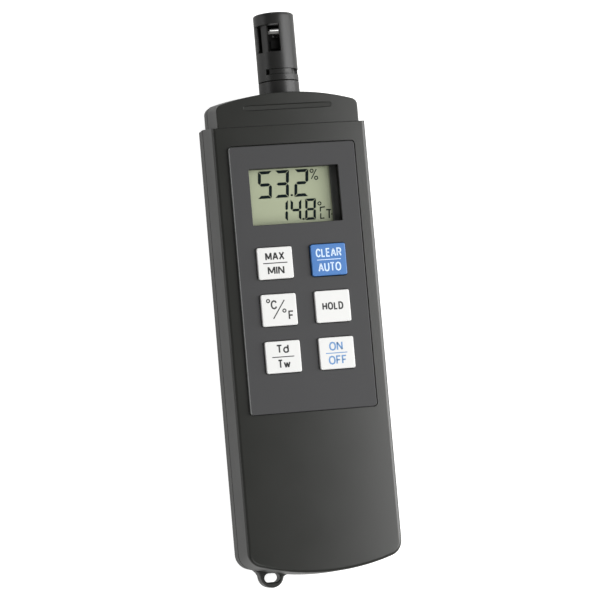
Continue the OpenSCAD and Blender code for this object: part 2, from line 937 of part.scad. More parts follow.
module board_screws() {
    color("#a9a9a4") for (p = board_screw_at)
        screw(p, board_z - board_head_t - thin, board_head_r, board_head_t, board_screw_r, board_screw_l);
}

front_shell();
rear_shell();
battery_cover();
face_panel();
window_lens();
lcd_frame();
lcd_glass();
zebra_strips();
keypad_mat();
key_cap(AT_MAX_MIN, "#e9e8e4");  // key_max_min
key_cap(AT_CLEAR_AUTO, "#3f74c0");  // key_clear_auto
key_cap(AT_UNIT, "#e9e8e4");  // key_unit
key_cap(AT_HOLD, "#e9e8e4");  // key_hold
key_cap(AT_DEW_WET, "#e9e8e4");  // key_dew_wet
key_cap(AT_POWER, "#e9e8e4");  // key_power
key_dome(AT_MAX_MIN);  // dome_max_min
key_dome(AT_CLEAR_AUTO);  // dome_clear_auto
key_dome(AT_UNIT);  // dome_unit
key_dome(AT_HOLD);  // dome_hold
key_dome(AT_DEW_WET);  // dome_dew_wet
key_dome(AT_POWER);  // dome_power
key_pill(AT_MAX_MIN);  // pill_max_min
key_pill(AT_CLEAR_AUTO);  // pill_clear_auto
key_pill(AT_UNIT);  // pill_unit
key_pill(AT_HOLD);  // pill_hold
key_pill(AT_DEW_WET);  // pill_dew_wet
key_pill(AT_POWER);  // pill_power
main_board();
chip_on_board();
sensor_amp_chip();
quartz_crystal();
electrolytic_capacitors();
chip_resistors();
voltage_regulator();
sensor_socket();
battery_9v();
battery_terminals();
battery_snap();
battery_lead_red();
battery_lead_black();
battery_foam();
sensor_tube();
sensor_guard();
sensor_board();
humidity_plate();
sensor_chip();
thermistor();
solder_dots();
sensor_ribbon();
case_screws();
board_screws();
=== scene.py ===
"""A handheld hygrometer lying on its back on a white table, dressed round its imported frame."""

import math

import bmesh
import bpy
from mathutils import Matrix, Vector


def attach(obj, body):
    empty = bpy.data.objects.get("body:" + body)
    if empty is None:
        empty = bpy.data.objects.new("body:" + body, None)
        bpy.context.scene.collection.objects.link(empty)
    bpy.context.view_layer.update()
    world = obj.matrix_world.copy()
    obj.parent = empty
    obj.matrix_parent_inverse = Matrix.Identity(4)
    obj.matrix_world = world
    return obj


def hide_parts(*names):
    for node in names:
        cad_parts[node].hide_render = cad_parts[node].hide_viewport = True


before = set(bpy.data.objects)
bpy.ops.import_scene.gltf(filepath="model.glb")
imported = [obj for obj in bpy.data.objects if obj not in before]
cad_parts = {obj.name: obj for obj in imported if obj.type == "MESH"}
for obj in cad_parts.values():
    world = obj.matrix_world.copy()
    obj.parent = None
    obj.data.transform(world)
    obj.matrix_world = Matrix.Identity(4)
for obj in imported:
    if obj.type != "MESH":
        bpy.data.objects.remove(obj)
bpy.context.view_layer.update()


# Viewpoint. A long lens stands over the meter, a little to its left and towards the probe.
# The lens is 162 mm on a 36 mm square, which gives the flat look of a catalogue picture.
MM = 0.001
PANEL_TOP = 24.2
PANEL_MIDDLE = 4.8
SHOT_YAW = math.radians(13.02)
SHOT_PITCH = math.radians(-4.01)
SHOT_ROLL = math.radians(4.97)
SHOT_AWAY = 838.6
SHOT_ASIDE = (0.9, 7.2)
turn = (
    Matrix.Rotation(SHOT_ROLL, 3, "Z")
    @ Matrix.Rotation(SHOT_PITCH, 3, "X")
    @ Matrix.Rotation(SHOT_YAW, 3, "Y")
)
lens = bpy.data.cameras.new("camera")
lens.lens = 162
lens.sensor_width = 36
lens.clip_end = 10
camera = bpy.data.objects.new("camera", lens)
stand = turn.transposed() @ Vector((-SHOT_ASIDE[0], -SHOT_ASIDE[1], SHOT_AWAY))
stand += Vector((0, PANEL_MIDDLE, PANEL_TOP))
camera.matrix_world = Matrix.Translation(stand * MM) @ turn.transposed().to_4x4()
bpy.context.scene.collection.objects.link(camera)
bpy.context.scene.camera = camera


# Table and light. A pale table, which shows as white, stands in a dim white room. One strong
# soft lamp hangs high on the right, with a flat one under it and three weak ones round the rest.
def add(tree, kind, inputs=None, **settings):
    """A node of this kind in the tree, with its settings and with values or links on its inputs."""
    made = tree.nodes.new(kind)
    for name, value in settings.items():
        setattr(made, name, value)
    for name, value in (inputs or {}).items():
        if isinstance(value, bpy.types.NodeSocket):
            tree.links.new(value, made.inputs[name])
        else:
            made.inputs[name].default_value = value
    return made


def linear(colour):
    """An sRGB hex colour as the linear red, green, blue and alpha that shaders take."""
    parts = [int(colour[i : i + 2], 16) / 255 for i in (1, 3, 5)]
    return [p / 12.92 if p <= 0.04045 else ((p + 0.055) / 1.055) ** 2.4 for p in parts] + [1.0]


def maths(tree, operation, *values):
    """The result of a sum on these values or links."""
    return add(tree, "ShaderNodeMath", dict(enumerate(values)), operation=operation).outputs[0]


def blank(name):
    """A new material and its node tree, which is still empty."""
    made = bpy.data.materials.new(name)
    made.use_nodes = True
    made.node_tree.nodes.clear()
    return made, made.node_tree


def surface(tree, inputs):
    """Ends the tree in a principled surface with these inputs."""
    skin = add(tree, "ShaderNodeBsdfPrincipled", inputs)
    add(tree, "ShaderNodeOutputMaterial", {"Surface": skin.outputs[0]})


def mesh_piece(name, points, faces):
    """An object at the origin from points in millimetres."""
    mesh = bpy.data.meshes.new(name)
    mesh.from_pydata([Vector(p) * MM for p in points], [], faces)
    mesh.update()
    made = bpy.data.objects.new(name, mesh)
    bpy.context.scene.collection.objects.link(made)
    return made


TABLE_HALF = 1500
TABLE_GLOW = 0.9
TABLE_SHINE = 0.41
corners = [(x * TABLE_HALF, y * TABLE_HALF, 0) for x, y in ((-1, -1), (1, -1), (1, 1), (-1, 1))]
table = mesh_piece("table", corners, [(0, 1, 2, 3)])
table_paint, tree = blank("white_table")
rays = add(tree, "ShaderNodeLightPath")
mirrored = maths(tree, "MULTIPLY", rays.outputs["Is Glossy Ray"], TABLE_SHINE)
seen = maths(tree, "MAXIMUM", rays.outputs["Is Camera Ray"], rays.outputs["Is Transmission Ray"])
seen = maths(tree, "MAXIMUM", seen, mirrored)
glow = maths(tree, "MULTIPLY", seen, TABLE_GLOW)
sheet = {"Base Color": linear("#b6b6b4"), "Roughness": 0.9}
surface(tree, {**sheet, "Emission Color": (1, 1, 1, 1), "Emission Strength": glow})
table.data.materials.append(table_paint)

world = bpy.data.worlds.new("white_room")
world.use_nodes = True
tree = world.node_tree
tree.nodes.clear()
rays = add(tree, "ShaderNodeLightPath")
ROOM_LIGHT = 0.17
straight = rays.outputs["Is Camera Ray"]
room = add(tree, "ShaderNodeMix", {"Factor": straight, "A": ROOM_LIGHT, "B": 1.0}, data_type="FLOAT")
sky = add(tree, "ShaderNodeBackground", {"Color": (1, 1, 1, 1), "Strength": room.outputs["Result"]})
add(tree, "ShaderNodeOutputWorld", {"Surface": sky.outputs[0]})
bpy.context.scene.world = world
bpy.context.scene.view_settings.view_transform = "Standard"


def soft_lamp(name, place, size, watts):
    """A square soft lamp at a place in metres, turned to the meter."""
    data = bpy.data.lights.new(name, "AREA")
    data.size = size
    data.energy = watts
    lamp = bpy.data.objects.new(name, data)
    away = Vector(place) - Vector(LAMP_AIM)
    lamp.matrix_world = Matrix.Translation(place) @ away.to_track_quat("Z", "Y").to_matrix().to_4x4()
    bpy.context.scene.collection.objects.link(lamp)


LAMP_AIM = (0, 0, 0.01)
soft_lamp("lamp_right", (0.72, -0.04, 0.72), 0.6, 11.6)
soft_lamp("lamp_low", (0.97, 0.0, 0.27), 0.45, 5.5)
soft_lamp("lamp_left", (-0.95, 0.1, 0.22), 0.45, 1.3)
soft_lamp("lamp_foot", (-0.28, -0.55, 0.75), 0.35, 2.0)
soft_lamp("lamp_top", (-0.1, 0.75, 0.75), 0.4, 1.0)


# Front shell. The front half of the case is injection-moulded ABS in black-grey, crowned across
# the grip, a step narrower and lower at the sensor end, and fixed by screws from the back.
CASE_HALF = 24.6
CASE_DEPTH = 24.0
SPLIT = 8.0
SEAM_DEPTH = 0.6
FOOT = -87.5
FOOT_DRAFT = 0.7
SHOULDER = 54.6
END_DRAFT = 1.7
FOOT_ARC = 70.0
FOOT_CORNER = 5.0
CROWN = 1.0
FRONT_EDGE = 1.1
CAP_HALF = 22.7
CAP_TIP = 64.8
CAP_ARC = 77.0
CAP_CORNER = 2.2
CAP_STEP = 0.35
CAP_EDGE = 0.3
CAP_ROOT = 44.6
CLOUD_MM = 14
WALL = 2.0
CEILING = 21.2
LIP_HIGH = 9.4
LIP_INSET = 1.1
PROBE_AXIS = 14.0
PROBE_R = 6.4
PROBE_FIT = PROBE_R + 0.05
PROBE_ROOT = 57.9


def arc(centre, radius, start, stop, steps):
    """Points of an arc, with both ends, in degrees from +X."""
    turns = [math.radians(start + (stop - start) * i / steps) for i in range(steps + 1)]
    return [(centre[0] + radius * math.cos(a), centre[1] + radius * math.sin(a)) for a in turns]


def end_ring(outline, inset, square_inset, rows, lean):
    """Outline of a block with an arched tip: right side, arch, left side, then its square end."""
    half, corner, arc_r, tip, square, tip_draft, square_draft = outline
    way = 1 if tip > square else -1
    side = half - inset
    bend = max(corner - inset, 0.3)
    middle = way * tip - lean * tip_draft - arc_r
    knee_x = side - bend
    knee = middle + math.sqrt((arc_r - inset - bend) ** 2 - knee_x**2)
    turned_to = math.degrees(math.atan2(knee - middle, knee_x))
    start = way * square + lean * square_draft + square_inset
    arch = arc((knee_x, knee), bend, 0, turned_to, 8)
    arch += arc((0, middle), arc_r - inset, turned_to, 180 - turned_to, 32)[1:]
    arch += arc((-knee_x, knee), bend, 180 - turned_to, 180, 8)[1:]
    ring = [(side, start + (knee - start) * j / rows) for j in range(rows)]
    ring += arch
    ring += [(-side, knee + (start - knee) * j / rows) for j in range(1, rows + 1)]
    ring += [(p[0], start) for p in arch[-2:0:-1]]
    return [(x, way * v) for x, v in ring], len(arch) - 1


def side_faces(count, rings):
    """Faces between rings of points that follow one another."""
    faces = []
    for low in range(0, (rings - 1) * count, count):
        for i in range(count):
            j = (i + 1) % count
            faces.append((low + i, low + j, low + count + j, low + count + i))
    return faces


def closed_faces(count, rings):
    """The same, with a face over the first ring and one over the last."""
    last = (rings - 1) * count
    return side_faces(count, rings) + [tuple(reversed(range(count))), tuple(range(last, last + count))]


def end_block(name, outline, profile, square_share=1.0, rows=20):
    """Closed block over that outline, from a profile of insets, heights over x and leans."""
    points = []
    for inset, height, lean in profile:
        ring, spans = end_ring(outline, inset, inset * square_share, rows, lean)
        points += [(x, y, height(x)) for x, y in ring]
    count = len(ring)
    faces = side_faces(count, len(profile))
    for low, height in ((0, profile[0][1]), ((len(profile) - 1) * count, profile[-1][1])):
        columns = [[low + j for j in range(rows + 1)]]
        for i in range(1, spans):
            first = low + 2 * rows + spans + 1 + (spans - 1 - i)
            last = low + rows + i
            inner = []
            for j in range(1, rows):
                part = j / rows
                x = points[first][0] * (1 - part) + points[last][0] * part
                y = points[first][1] * (1 - part) + points[last][1] * part
                inner.append(len(points))
                points.append((x, y, height(x)))
            columns.append([first] + inner + [last])
        columns.append([low + 2 * rows + spans - j for j in range(rows + 1)])
        for a, b in zip(columns, columns[1:]):
            faces += [(a[j], b[j], b[j + 1], a[j + 1]) for j in range(rows)]
    return clean(mesh_piece(name, points, faces))


def clean(piece):
    """Merges doubles, fills small holes and turns every face outwards."""
    work = bmesh.new()
    work.from_mesh(piece.data)
    bmesh.ops.remove_doubles(work, verts=work.verts, dist=1e-7)
    bmesh.ops.holes_fill(work, edges=work.edges, sides=4)
    bmesh.ops.recalc_face_normals(work, faces=work.faces)
    work.to_mesh(piece.data)
    work.free()
    return piece


def bake(piece):
    """Applies the piece's modifiers to its mesh."""
    bpy.context.view_layer.update()
    done = bpy.data.meshes.new_from_object(piece.evaluated_get(bpy.context.evaluated_depsgraph_get()))
    piece.modifiers.clear()
    piece.data = done
    done.name = piece.name
    return piece


def carve(piece, *tools, how="DIFFERENCE"):
    """Cuts the tools out of the piece, or joins or intersects them, and removes them."""
    for tool in tools:
        modifier = piece.modifiers.new("carve", "BOOLEAN")
        modifier.operation = how
        modifier.solver = "EXACT"
        modifier.object = tool
        bake(piece)
        bpy.data.objects.remove(tool)
    return piece


def slab(name, centre, size, corner, levels, steps=6):
    """Closed plate with rounded corners. Levels list an inset and a height each, from the foot up."""
    half_x, half_y = size[0] / 2, size[1] / 2
    points = []
    for inset, z in levels:
        r = max(corner - inset, 0.02)
        kx, ky = half_x - inset - r, half_y - inset - r
        ring = arc((kx, ky), r, 0, 90, steps) + arc((-kx, ky), r, 90, 180, steps)
        ring += arc((-kx, -ky), r, 180, 270, steps) + arc((kx, -ky), r, 270, 360, steps)
        points += [(centre[0] + x, centre[1] + y, z) for x, y in ring]
    return clean(mesh_piece(name, points, closed_faces(len(ring), len(levels))))


def turned(name, profile, steps=96, place=(0, 0, 0), along="Z"):
    """Closed solid of revolution over a profile of radii and heights, from axis to axis."""
    points = []
    for r, h in profile:
        for x, y in arc((0, 0), r, 0, 360 - 360 / steps, steps - 1):
            points.append((x, y, h))
    made = mesh_piece(name, points, closed_faces(steps, len(profile)))
    if along == "Y":
        made.data.transform(Matrix.Rotation(-math.pi / 2, 4, "X"))
    made.data.transform(Matrix.Translation(Vector(place) * MM))
    return clean(made)


def crowned(drop):
    """Height of the crowned front over x, lowered by drop."""
    return lambda x: CASE_DEPTH - CROWN * (x / CASE_HALF) ** 2 - drop


def level(z):
    """The same height everywhere."""
    return lambda x: z


def rounded(edge, step):
    """Insets and drops of a rounded edge from the wall to the top, with a step in degrees."""
    turns = [math.radians(a) for a in range(0, 91, step)]
    return [(edge * (1 - math.cos(a)), edge * (1 - math.sin(a))) for a in turns]


def soft_profile(edge, sink):
    """Levels of a front block: the groove at the parting line, the wall, and the rounded edge."""
    levels = [(SEAM_DEPTH, level(z), 0.0) for z in (SPLIT, SPLIT + 0.4)]
    levels.append((0.0, level(SPLIT + 0.5), 0.0))
    return levels + [(inset, crowned(sink + drop), 1.0) for inset, drop in rounded(edge, 15)]


GRIP = (CASE_HALF, FOOT_CORNER, FOOT_ARC, FOOT, SHOULDER, FOOT_DRAFT, END_DRAFT)
CAP = (CAP_HALF, CAP_CORNER, CAP_ARC, CAP_TIP, CAP_ROOT, END_DRAFT, 0.0)
PANEL_SIZE = (40.2, 83.4)
PANEL_SEAT = 23.2
PANEL_GAP = 0.3
SEAT_SIZE = (39.8, 83.0)
SEAT_GROOVE = 0.7
WINDOW_SIZE = (28.6, 17.6)
WINDOW_AT = (0, 30.5)
LENS_POCKET = (32.2, 21.2)
KEY_SIZE = (11.1, 9.9)
KEY_GAP = 0.2
KEY_AT = {
    "max_min": (-8.55, 9.6),
    "clear_auto": (8.55, 9.6),
    "unit": (-8.55, -5.0),
    "hold": (8.55, -5.0),
    "dew_wet": (-8.55, -19.6),
    "power": (8.55, -19.6),
}


def wider(size, by):
    """The size of a plate that reaches this much further on each side."""
    return (size[0] + 2 * by, size[1] + 2 * by)


def case_core(inset, low, high, lean):
    """Two solids that together fill the case's outline, moved inwards, between two heights."""
    levels = [(inset, level(low), lean), (inset, level(high), lean)]
    return end_block("core_grip", GRIP, levels, rows=4), end_block("core_cap", CAP, levels, rows=4)


def openings(levels):
    """Solids through the window and key openings, with an inset and a height for each level."""
    window = slab("window_cut", WINDOW_AT, WINDOW_SIZE, 0.3, levels)
    return [window] + [slab("key_cut", at, wider(KEY_SIZE, KEY_GAP), 1.0, levels) for at in KEY_AT.values()]


front = end_block("front_shell_moulding", GRIP, soft_profile(FRONT_EDGE, 0), square_share=0.3)
carve(front, end_block("cap", CAP, soft_profile(CAP_EDGE, CAP_STEP)), how="UNION")
carve(front, *case_core(WALL, SPLIT - 1, CEILING, 1.0))
# Rebate that takes the rear shell's lip
carve(front, *case_core(LIP_INSET - 0.1, SPLIT - 1, LIP_HIGH + 0.1, 0.0))
# The panel lies against the recess's left and lower sides, so the gap is wider on the right
RECESS_AT = (0.2, PANEL_MIDDLE + 0.1)
sunk = [(0, PANEL_SEAT - SEAT_GROOVE), (0, PANEL_TOP + 1)]
well = slab("recess", RECESS_AT, wider(PANEL_SIZE, PANEL_GAP), 1.3, sunk)
# The seat stands in the recess, so the groove round it shows as a dark line beside the panel
carve(well, slab("seat", (0, PANEL_MIDDLE), SEAT_SIZE, 0.8, [(0, 20), (0, PANEL_SEAT)]))
carve(front, well)
carve(front, slab("lens_pocket", WINDOW_AT, LENS_POCKET, 1.0, [(0, PANEL_SEAT - 1), (0, PANEL_SEAT + 1)]))
carve(front, *openings([(0, CEILING - 1), (0, PANEL_SEAT + 1)]))
BAR_AT = (0, 58.5)
BAR_SIZE = (28.6, 1.8)
BAR_FLOOR = 23.2
sunk = [(0.25, BAR_FLOOR), (0, BAR_FLOOR + 0.25), (0, CASE_DEPTH + 1)]
carve(front, slab("bar", BAR_AT, BAR_SIZE, 0.85, sunk))
PROBE_SEAT = [(0, PROBE_ROOT), (PROBE_FIT, PROBE_ROOT), (PROBE_FIT, 70), (0, 70)]
carve(front, turned("probe_seat", PROBE_SEAT, place=(0, 0, PROBE_AXIS), along="Y"))


def brick(name, half, length, heights):
    """A plain rectangular tool, half of it on each side of the meter's middle line."""
    near, far = length
    levels = [(0, z) for z in heights]
    return slab(name, (0, (near + far) / 2), (2 * half, far - near), 0.03, levels, steps=1)


carve(front, brick("probe_way", PROBE_FIT, (PROBE_ROOT, 70), (0, PROBE_AXIS)))


def shade(piece):
    """Smooth shading that keeps edges over 32 degrees sharp and flat faces flat."""
    piece.data.polygons.foreach_set("use_smooth", [True] * len(piece.data.polygons))
    piece.data.set_sharp_from_angle(angle=math.radians(32))
    even = piece.modifiers.new("even", "WEIGHTED_NORMAL")
    even.keep_sharp = True
    bake(piece)


def give(piece, *materials):
    """Gives the piece these materials, in place of those that its cuts left."""
    piece.data.materials.clear()
    for material in materials:
        piece.data.materials.append(material)


def own_space(tree):
    """Places on the piece, in metres."""
    return add(tree, "ShaderNodeTexCoord").outputs["Object"]


def noise(tree, size_mm, detail):
    """Cloudy values on the piece, whose blots are about this wide."""
    inputs = {"Vector": own_space(tree), "Scale": 1 / (size_mm * MM), "Detail": detail}
    return add(tree, "ShaderNodeTexNoise", inputs).outputs["Fac"]


def spread(tree, value, low, high):
    """A value from nothing to one, spread between two others."""
    inputs = {"Value": value, "To Min": low, "To Max": high}
    return add(tree, "ShaderNodeMapRange", inputs).outputs["Result"]


def mixed(tree, share, first, second):
    """A colour between two others."""
    inputs = {"Factor": share, "A": first, "B": second}
    return add(tree, "ShaderNodeMix", inputs, data_type="RGBA").outputs["Result"]


def bumpy(tree, height, strength, depth_mm):
    """The surface's direction, as this height would turn it."""
    inputs = {"Height": height, "Strength": strength, "Distance": depth_mm * MM}
    return add(tree, "ShaderNodeBump", inputs).outputs["Normal"]


def moulded(name, colour, rough, grain_mm, grain_depth=0.012, cloud=0.06, sheen=0.5):
    """Injection-moulded plastic: an even colour with faint clouds, and a spark-eroded grain."""
    made, tree = blank(name)
    clouds = noise(tree, CLOUD_MM, 3.0)
    base = linear(colour)
    dark = [c * (1 - cloud) for c in base[:3]] + [1.0]
    pale = [min(c * (1 + cloud), 1) for c in base[:3]] + [1.0]
    surface(
        tree,
        {
            "Base Color": mixed(tree, clouds, dark, pale),
            "Roughness": spread(tree, clouds, rough - 0.04, rough + 0.04),
            "Specular IOR Level": sheen,
            "IOR": 1.53,
            "Normal": bumpy(tree, noise(tree, grain_mm, 2.0), 0.6, grain_depth),
        },
    )
    return made


# ABS, spark-eroded in the tool: a dark grey with a soft, wide shine and a 0.3 mm grain.
case_abs = moulded("abs_textured", "#191a16", 0.4, 0.3)
shade(clean(front))
give(front, case_abs)
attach(front, "case")
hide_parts("front_shell")


# Rear shell. The back half, of the same ABS, carries the battery bay with its two grooves,
# the four screw posts and the lanyard loop at the grip end.
BACK_TOP = 7.75
BACK_EDGE = 2.5
FLOOR = 2.2
CAP_BACK_EDGE = 3.8
LOOP_AT = (-14.3, -86.9)
LOOP_R = 3.75
LOOP_HOLE_AT = (-14.3, -87.5)
LOOP_HOLE_SIZE = (5.0, 2.9)
LOOP_LOW = 2.2
LOOP_HIGH = 7.7
POST_OUT = 3.2
COLLAR_END = 60.6
SCREW_AT = [(-19.5, -77), (19.5, -77), (-16.5, 56), (16.5, 56)]
COVER_HALF = 15.0
COVER_END = -33.5
COVER_LIP = 1.2
COVER_LIP_LOW = 1.3
COVER_TOP = 2.0
LEDGE_TOP = 3.1
BAY_HALF = 13.7
BAY_END = -30.6
BAY_WALL = 1.2
BAY_TOP = 19.0
BAY_FOOT = -82.4


def back_profile(edge):
    """Levels of a back block, from a small chamfer at the parting line down round the back's edge."""
    levels = [(0.1, level(BACK_TOP), 0.0), (0.0, level(BACK_TOP - 0.1), 0.0)]
    return levels + [(inset, level(drop), 0.0) for inset, drop in rounded(edge, 10)]


def back_solid(name):
    """The whole outer form of the back half."""
    grip = end_block(name, GRIP, back_profile(BACK_EDGE), square_share=0.25)
    return carve(grip, end_block("back_cap", CAP, back_profile(CAP_BACK_EDGE)), how="UNION")


def peg(name, at, radius, low, high):
    """A round tool standing on Z."""
    return turned(name, [(0, low), (radius, low), (radius, high), (0, high)], 48, (*at, 0))


def lanyard_loop():
    """The loop as a plate with a rounded rim, and flanks that run into the case."""
    soft = 0.5
    rims = [(soft, LOOP_LOW), (0.15, LOOP_LOW + 0.15), (0, LOOP_LOW + soft)]
    rims += [(0, LOOP_HIGH - soft), (0.15, LOOP_HIGH - 0.15), (soft, LOOP_HIGH)]
    flank = [(-20.2, -83.4), (-19.8, -84.5), (-18.7, -85.6), (-18.15, -86.6)]
    bend = arc(LOOP_AT, LOOP_R, 189, 347, 28)
    flank_end = [(-10.5, -87.35), (-9.9, -87.0), (-8.8, -86.7), (-8.6, -83.4)]
    mid_x, mid_y = LOOP_AT
    points = []
    for inset, z in rims:
        ring = [(x + inset, y) for x, y in flank]
        drawn_in = 1 - inset / LOOP_R
        ring += [(mid_x + (x - mid_x) * drawn_in, mid_y + (y - mid_y) * drawn_in) for x, y in bend]
        ring += [(x - inset, y) for x, y in flank_end]
        points += [(x, y, z) for x, y in ring]
    return clean(mesh_piece("loop", points, closed_faces(len(ring), len(rims))))


rear = back_solid("rear_shell_moulding")
carve(rear, lanyard_loop(), how="UNION")
carve(rear, *case_core(LIP_INSET, SPLIT - 2, LIP_HIGH, 0.0), how="UNION")
carve(rear, *case_core(WALL, FLOOR, LIP_HIGH + 1, 0.0))
# Saddle that closes the front shell's slot under the probe
saddle = end_block("saddle", CAP, [(0, level(BACK_TOP - 1), 0.0), (0, level(PROBE_AXIS - 2.5), 0.3)], rows=4)
sides = brick("saddle_sides", PROBE_R - 0.1, (COLLAR_END, 66), (0, PROBE_AXIS))
carve(rear, carve(saddle, sides, how="INTERSECT"), how="UNION")
ledge = brick("ledge", COVER_HALF + 3, (FOOT + 1.6, BAY_END + BAY_WALL), (FLOOR - 0.5, LEDGE_TOP))
carve(rear, ledge, how="UNION")
bay = brick("bay", BAY_HALF + BAY_WALL, (BAY_FOOT, BAY_END + BAY_WALL), (FLOOR - 0.2, BAY_TOP))
carve(bay, brick("bay_hollow", BAY_HALF, (FOOT - 1, BAY_END), (0, BAY_TOP + 1)))
carve(bay, brick("lead_way", 6, (BAY_END - 1, BAY_END + 3), (9, BAY_TOP + 1)))
carve(rear, bay, how="UNION")
for at in SCREW_AT:
    carve(rear, peg("post", at, POST_OUT, FLOOR - 0.5, BACK_TOP - 0.1), how="UNION")
for at in SCREW_AT:
    sink = [(0, -1), (3.1, -1), (3.1, 0), (2.6, 0.5), (2.6, 3.0), (1.6, 3.0), (1.6, 9), (0, 9)]
    carve(rear, turned("screw_sink", sink, 48, (*at, 0)))
flare = [(-0.3, LOOP_LOW - 1), (-0.3, LOOP_LOW), (0, LOOP_LOW + 0.3)]
flare += [(0, LOOP_HIGH - 0.3), (-0.3, LOOP_HIGH), (-0.3, 9)]
carve(rear, slab("loop_hole", LOOP_HOLE_AT, LOOP_HOLE_SIZE, 1.45, flare, steps=12))
cover_run = (FOOT - 1, COVER_END + 0.1)
carve(rear, brick("cover_way", COVER_HALF + 0.1, cover_run, (-1, COVER_LIP_LOW)))
groove = (COVER_LIP_LOW - 0.1, COVER_TOP + 0.1)
carve(rear, brick("cover_grooves", COVER_HALF + COVER_LIP + 0.1, cover_run, groove))
mouth = (BAY_FOOT + 0.02, COVER_END - 0.1)
carve(rear, brick("bay_mouth", BAY_HALF - 0.02, mouth, (0, LEDGE_TOP + 1)))
carve(rear, turned("probe_seat", PROBE_SEAT, place=(0, 0, PROBE_AXIS), along="Y"))
shade(rear)
give(rear, case_abs)
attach(rear, "case")
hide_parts("rear_shell")


# Battery cover. A plate of the same ABS that follows the back's edge and slides off towards
# the grip end, with a ribbed thumb grip. Its long edges run in the rear shell's grooves.
def nodes_group(name, **sockets):
    """A geometry nodes tree with these inputs, and its node that gives them."""
    tree = bpy.data.node_groups.new(name, "GeometryNodeTree")
    for label, kind in sockets.items():
        tree.interface.new_socket(label, in_out="INPUT", socket_type="NodeSocket" + kind)
    tree.interface.new_socket("Geometry", in_out="OUTPUT", socket_type="NodeSocketGeometry")
    return tree, add(tree, "NodeGroupInput").outputs


def shape_of(tree, thing):
    """The geometry of an object."""
    return add(tree, "GeometryNodeObjectInfo", {"Object": thing}).outputs["Geometry"]


def real_copies(tree, inputs, material):
    """Ends the tree in real copies of an instance on points, in this material."""
    put = add(tree, "GeometryNodeInstanceOnPoints", inputs)
    real = add(tree, "GeometryNodeRealizeInstances", {"Geometry": put.outputs[0]})
    painted = add(tree, "GeometryNodeSetMaterial", {"Geometry": real.outputs[0], "Material": material})
    add(tree, "NodeGroupOutput", {"Geometry": painted.outputs[0]})


def ribbed_grip():
    """Row of rounded bars, instanced along a line by geometry nodes, as one cutting tool."""
    tree, given = nodes_group("ribbed_grip", Ribs="Int", Pitch="Float", Bar="Object")
    step = add(tree, "ShaderNodeCombineXYZ", {"Y": given["Pitch"]})
    row = add(tree, "GeometryNodeMeshLine", {"Count": given["Ribs"], "Offset": step.outputs[0]})
    real_copies(tree, {"Points": row.outputs[0], "Instance": shape_of(tree, given["Bar"])}, case_abs)
    return tree


def grown(name, tree, **inputs):
    """Object whose mesh is what a geometry nodes tree makes with these inputs."""
    made = mesh_piece(name, [], [])
    modifier = made.modifiers.new(name, "NODES")
    modifier.node_group = tree
    sockets = {s.name: s.identifier for s in tree.interface.items_tree if s.in_out == "INPUT"}
    for label, value in inputs.items():
        modifier[sockets[label]] = value
    return bake(made)


cover = back_solid("battery_cover_plate")
plate = brick("plate", COVER_HALF, (FOOT - 1, COVER_END), (0.1, COVER_TOP))
tongues = brick("tongues", COVER_HALF + COVER_LIP, (FOOT + 6, COVER_END), (COVER_LIP_LOW, COVER_TOP))
carve(cover, carve(plate, tongues, how="UNION"), how="INTERSECT")
GRIP_RIBS = 6
RIB_PITCH = 1.8
first_rib = (0, COVER_END - 5.55 - (GRIP_RIBS - 1) * RIB_PITCH)
rib = slab("rib", first_rib, (12, 0.9), 0.4, [(0.0, -0.5), (0.0, 0.35), (0.15, 0.6), (0.38, 0.7)])
ribs = grown("ribs", ribbed_grip(), Ribs=GRIP_RIBS, Pitch=RIB_PITCH * MM, Bar=rib)
bpy.data.objects.remove(rib)
carve(cover, ribs)
shade(cover)
give(cover, case_abs)
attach(cover, "battery_cover")
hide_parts("battery_cover")


# Case screws. Four zinc-plated pan-head screws with a cross recess, driven from the back
# through the rear shell's posts into the front shell.
def plated(name, colour, rough, line_mm):
    """Bright metal with faint turning or drawing lines."""
    made, tree = blank(name)
    lines = noise(tree, line_mm, 3.0)
    base = linear(colour)
    dull = [c * 0.8 for c in base[:3]] + [1.0]
    surface(
        tree,
        {
            "Base Color": mixed(tree, lines, dull, base),
            "Metallic": 1.0,
            "Roughness": spread(tree, lines, rough - 0.08, rough + 0.08),
            "Normal": bumpy(tree, lines, 0.3, 0.01),
        },
    )
    return made


def screws_on_points():
    """One mesh of screws, one at each point, instanced by geometry nodes."""
    tree, given = nodes_group("screws_on_points", Places="Object", Screw="Object", Finish="Material")
    put = {"Points": shape_of(tree, given["Places"]), "Instance": shape_of(tree, given["Screw"])}
    angles = {"Min": (0.0, 0.0, 0.0), "Max": (0.0, 0.0, 1.5), "Seed": 7}
    turns = add(tree, "FunctionNodeRandomValue", angles, data_type="FLOAT_VECTOR").outputs[0]
    real_copies(tree, {**put, "Rotation": turns}, given["Finish"])
    return tree


# Zinc-plated steel: a cool bright grey that is a little dull from the plating bath.
zinc = plated("zinc_plated_steel", "#9a9c9d", 0.36, 0.25)
head = [(0, 1.4), (1.5, 1.42), (2.05, 1.55), (2.35, 1.85), (2.4, 2.2), (2.4, 2.98)]
shank = [(1.3, 2.98), (1.3, 16.4), (0.5, 16.98), (0, 16.98)]
screw = turned("screw", head + shank, 48)
for angle in (0, 90):
    blade = brick("blade", 1.45, (-0.26, 0.26), (0, 2.3))
    blade.data.transform(Matrix.Rotation(math.radians(angle), 4, "Z"))
    carve(screw, blade)
places = mesh_piece("places", [(x, y, 0) for x, y in SCREW_AT], [])
case_screws = grown("case_screw_set", screws_on_points(), Places=places, Screw=screw, Finish=zinc)
bpy.data.objects.remove(places)
bpy.data.objects.remove(screw)
shade(case_screws)
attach(case_screws, "case")
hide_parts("case_screws")


